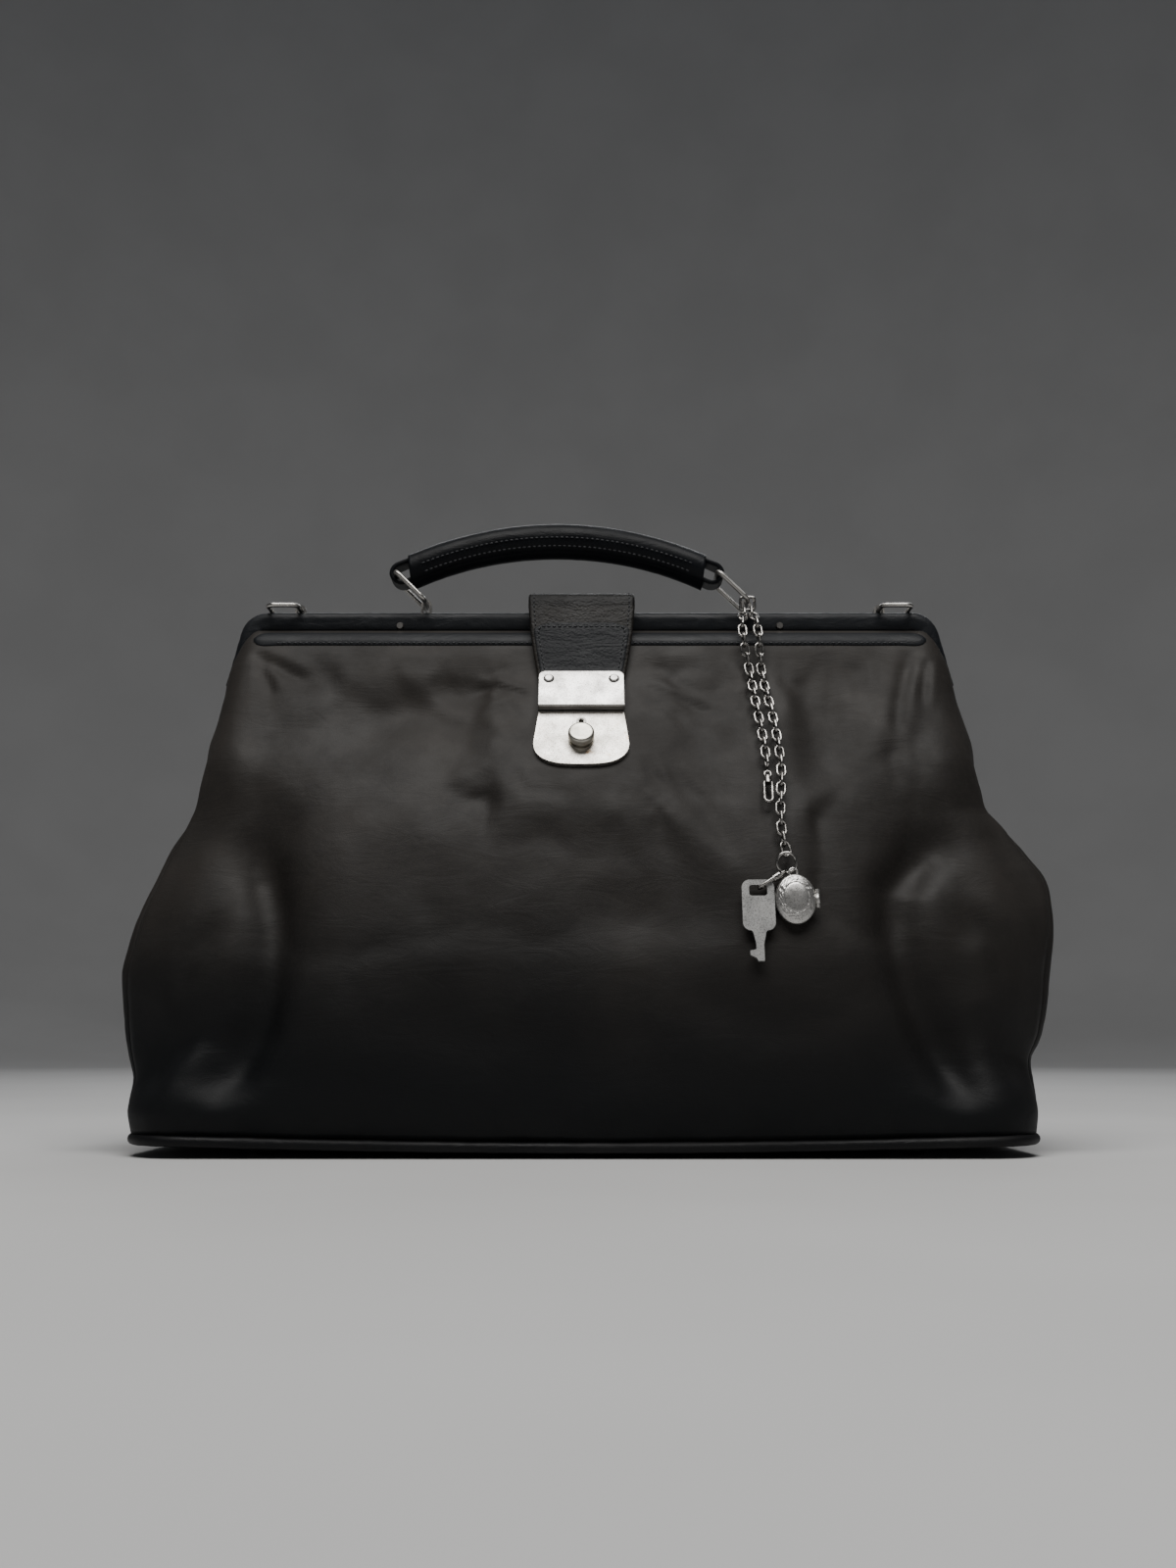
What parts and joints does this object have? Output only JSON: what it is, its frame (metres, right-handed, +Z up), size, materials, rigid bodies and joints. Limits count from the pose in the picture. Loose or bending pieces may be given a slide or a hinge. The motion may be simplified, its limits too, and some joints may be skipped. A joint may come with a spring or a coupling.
{
  "type": "doctor bag",
  "caption": "Soft leather doctor bag with a hinged steel frame, closing strap and hasp, rolled handle, strap rings, and a chain with key and locket.",
  "frame": {"origin": "on the floor under the middle of the bag, level with the undersides of its feet", "axes": "+X to the bag's right seen from the front, +Y to the back, +Z up"},
  "size_m": [0.494, 0.198, 0.3411],
  "materials": {
    "body_leather": "soft black leather, smooth with fine creases, low satin sheen",
    "base_leather": "black leather, matt",
    "frame_leather": "thin blue-black leather wrapped tight, satin",
    "strap_leather": "grained black-brown leather with stitched edges",
    "handle_leather": "rolled blue-black leather, satin",
    "handle_cord": "twisted cord filler",
    "lining_cloth": "brown-grey cotton lining",
    "base_fibreboard": "pressed fibreboard",
    "frame_steel": "plain steel strip",
    "nickel_fittings": "aged nickel plate, polished where it rubs",
    "lock_nickel": "aged nickel plate with dark specks",
    "lock_steel": "plain steel",
    "chain_silver": "antique silver, dark in the recesses",
    "key_steel": "scuffed steel with bright edges",
    "locket_silver": "antique silver with worn scroll engraving"
  },
  "bodies": {
    "bag": {"base_board": "base_fibreboard", "base_panel": "base_leather", "base_welt": "base_leather", "feet": "nickel_fittings", "foot_washers": "nickel_fittings", "front_panel": "body_leather", "rear_panel": "body_leather", "left_gusset": "body_leather", "right_gusset": "body_leather", "lining": "lining_cloth", "front_frame": "frame_steel", "front_frame_cover": "frame_leather", "front_frame_rivets": "nickel_fittings", "front_strip": "frame_leather", "hinge_pins": "frame_steel", "handle_staples": "nickel_fittings", "shoulder_staples": "nickel_fittings", "lock_plate": "lock_nickel", "lock_case": "lock_steel", "keyhole_ring": "lock_nickel", "lock_spring": "lock_steel", "chain_ring": "chain_silver"},
    "rear_half": {"rear_frame": "frame_steel", "rear_frame_cover": "frame_leather", "rear_frame_rivets": "nickel_fittings", "rear_strip": "frame_leather", "rear_yoke": "body_leather", "strap_tail": "strap_leather"},
    "closing_strap": {"strap": "strap_leather", "strap_facing": "strap_leather", "hasp_plate": "lock_nickel", "hasp_hook": "lock_steel", "hasp_rivets": "lock_nickel"},
    "knob": {"lock_knob": "lock_nickel", "lock_catch": "lock_steel"},
    "left_ring": {"handle_ring_left": "nickel_fittings"},
    "right_ring": {"handle_ring_right": "nickel_fittings"},
    "handle": {"handle_core": "handle_cord", "handle_cover": "handle_leather", "handle_loop_left": "handle_leather", "handle_loop_right": "handle_leather"},
    "left_shoulder_ring": {"shoulder_ring_left": "nickel_fittings"},
    "right_shoulder_ring": {"shoulder_ring_right": "nickel_fittings"},
    "chain": {"chain_long_strand": "chain_silver", "chain_short_strand": "chain_silver", "chain_clasp": "chain_silver", "key_clasp": "chain_silver"},
    "key": {"key": "key_steel"},
    "locket": {"locket_back": "locket_silver", "locket_bail": "locket_silver", "locket_hinge_pin": "locket_silver"},
    "locket_lid": {"locket_lid": "locket_silver"}
  },
  "joints": [
    {"name": "rear_half_hinge", "type": "hinge", "parent": "bag", "child": "rear_half", "pos_m": [0, 0, 0.24], "axis": [-1, 0, 0], "range_deg": [0, 37]},
    {"name": "strap_flip", "type": "hinge", "parent": "rear_half", "child": "closing_strap", "pos_m": [0, 0.011, 0.296], "axis": [-1, 0, 0], "range_deg": [0, 37]},
    {"name": "knob_slide", "type": "slide", "parent": "bag", "child": "knob", "axis": [0, -0.4867, -0.8736], "range_m": [0, 0.003], "stiffness_N_per_m": 400, "springref_m": -0.002, "deforming": ["lock_spring"]},
    {"name": "left_ring_hinge", "type": "hinge", "parent": "bag", "child": "left_ring", "pos_m": [-0.091, -0.007, 0.2945], "axis": [0, 1, 0], "range_deg": [0, 90]},
    {"name": "handle_hinge", "type": "hinge", "parent": "left_ring", "child": "handle", "pos_m": [-0.10726, -0.007, 0.31076], "axis": [0, 1, 0], "range_deg": [-90, 0]},
    {"name": "right_ring_hinge", "type": "hinge", "parent": "bag", "child": "right_ring", "pos_m": [0.087, -0.007, 0.2945], "axis": [0, 1, 0], "range_deg": [0, 90]},
    {"name": "left_shoulder_ring_hinge", "type": "hinge", "parent": "bag", "child": "left_shoulder_ring", "pos_m": [-0.161, -0.007, 0.2916], "axis": [0, 1, 0], "range_deg": [0, 180]},
    {"name": "right_shoulder_ring_hinge", "type": "hinge", "parent": "bag", "child": "right_shoulder_ring", "pos_m": [0.161, -0.007, 0.2916], "axis": [0, -1, 0], "range_deg": [0, 180]},
    {"name": "chain_swing", "type": "hinge", "parent": "bag", "child": "chain", "pos_m": [0.087, -0.0165, 0.2895], "axis": [-1, 0, 0], "range_deg": [0, 35]},
    {"name": "key_swing", "type": "hinge", "parent": "chain", "child": "key", "pos_m": [0.0819, -0.09302, 0.12824], "axis": [0, 0.9806, -0.1961], "range_deg": [0, 30]},
    {"name": "locket_swing", "type": "hinge", "parent": "chain", "child": "locket", "pos_m": [0.099, -0.08981, 0.13795], "axis": [0, -0.9806, 0.1961], "range_deg": [0, 30]},
    {"name": "locket_lid_hinge", "type": "hinge", "parent": "locket", "child": "locket_lid", "pos_m": [0.11, -0.09467, 0.12281], "axis": [0, 0.1961, 0.9806], "range_deg": [0, 110]}
  ],
  "couplings": [
    {"joint": "strap_flip", "follows": "rear_half_hinge", "ratio": 1},
    {"joint": "handle_hinge", "follows": "left_ring_hinge", "ratio": -1},
    {"joint": "right_ring_hinge", "follows": "left_ring_hinge", "ratio": 1}
  ]
}
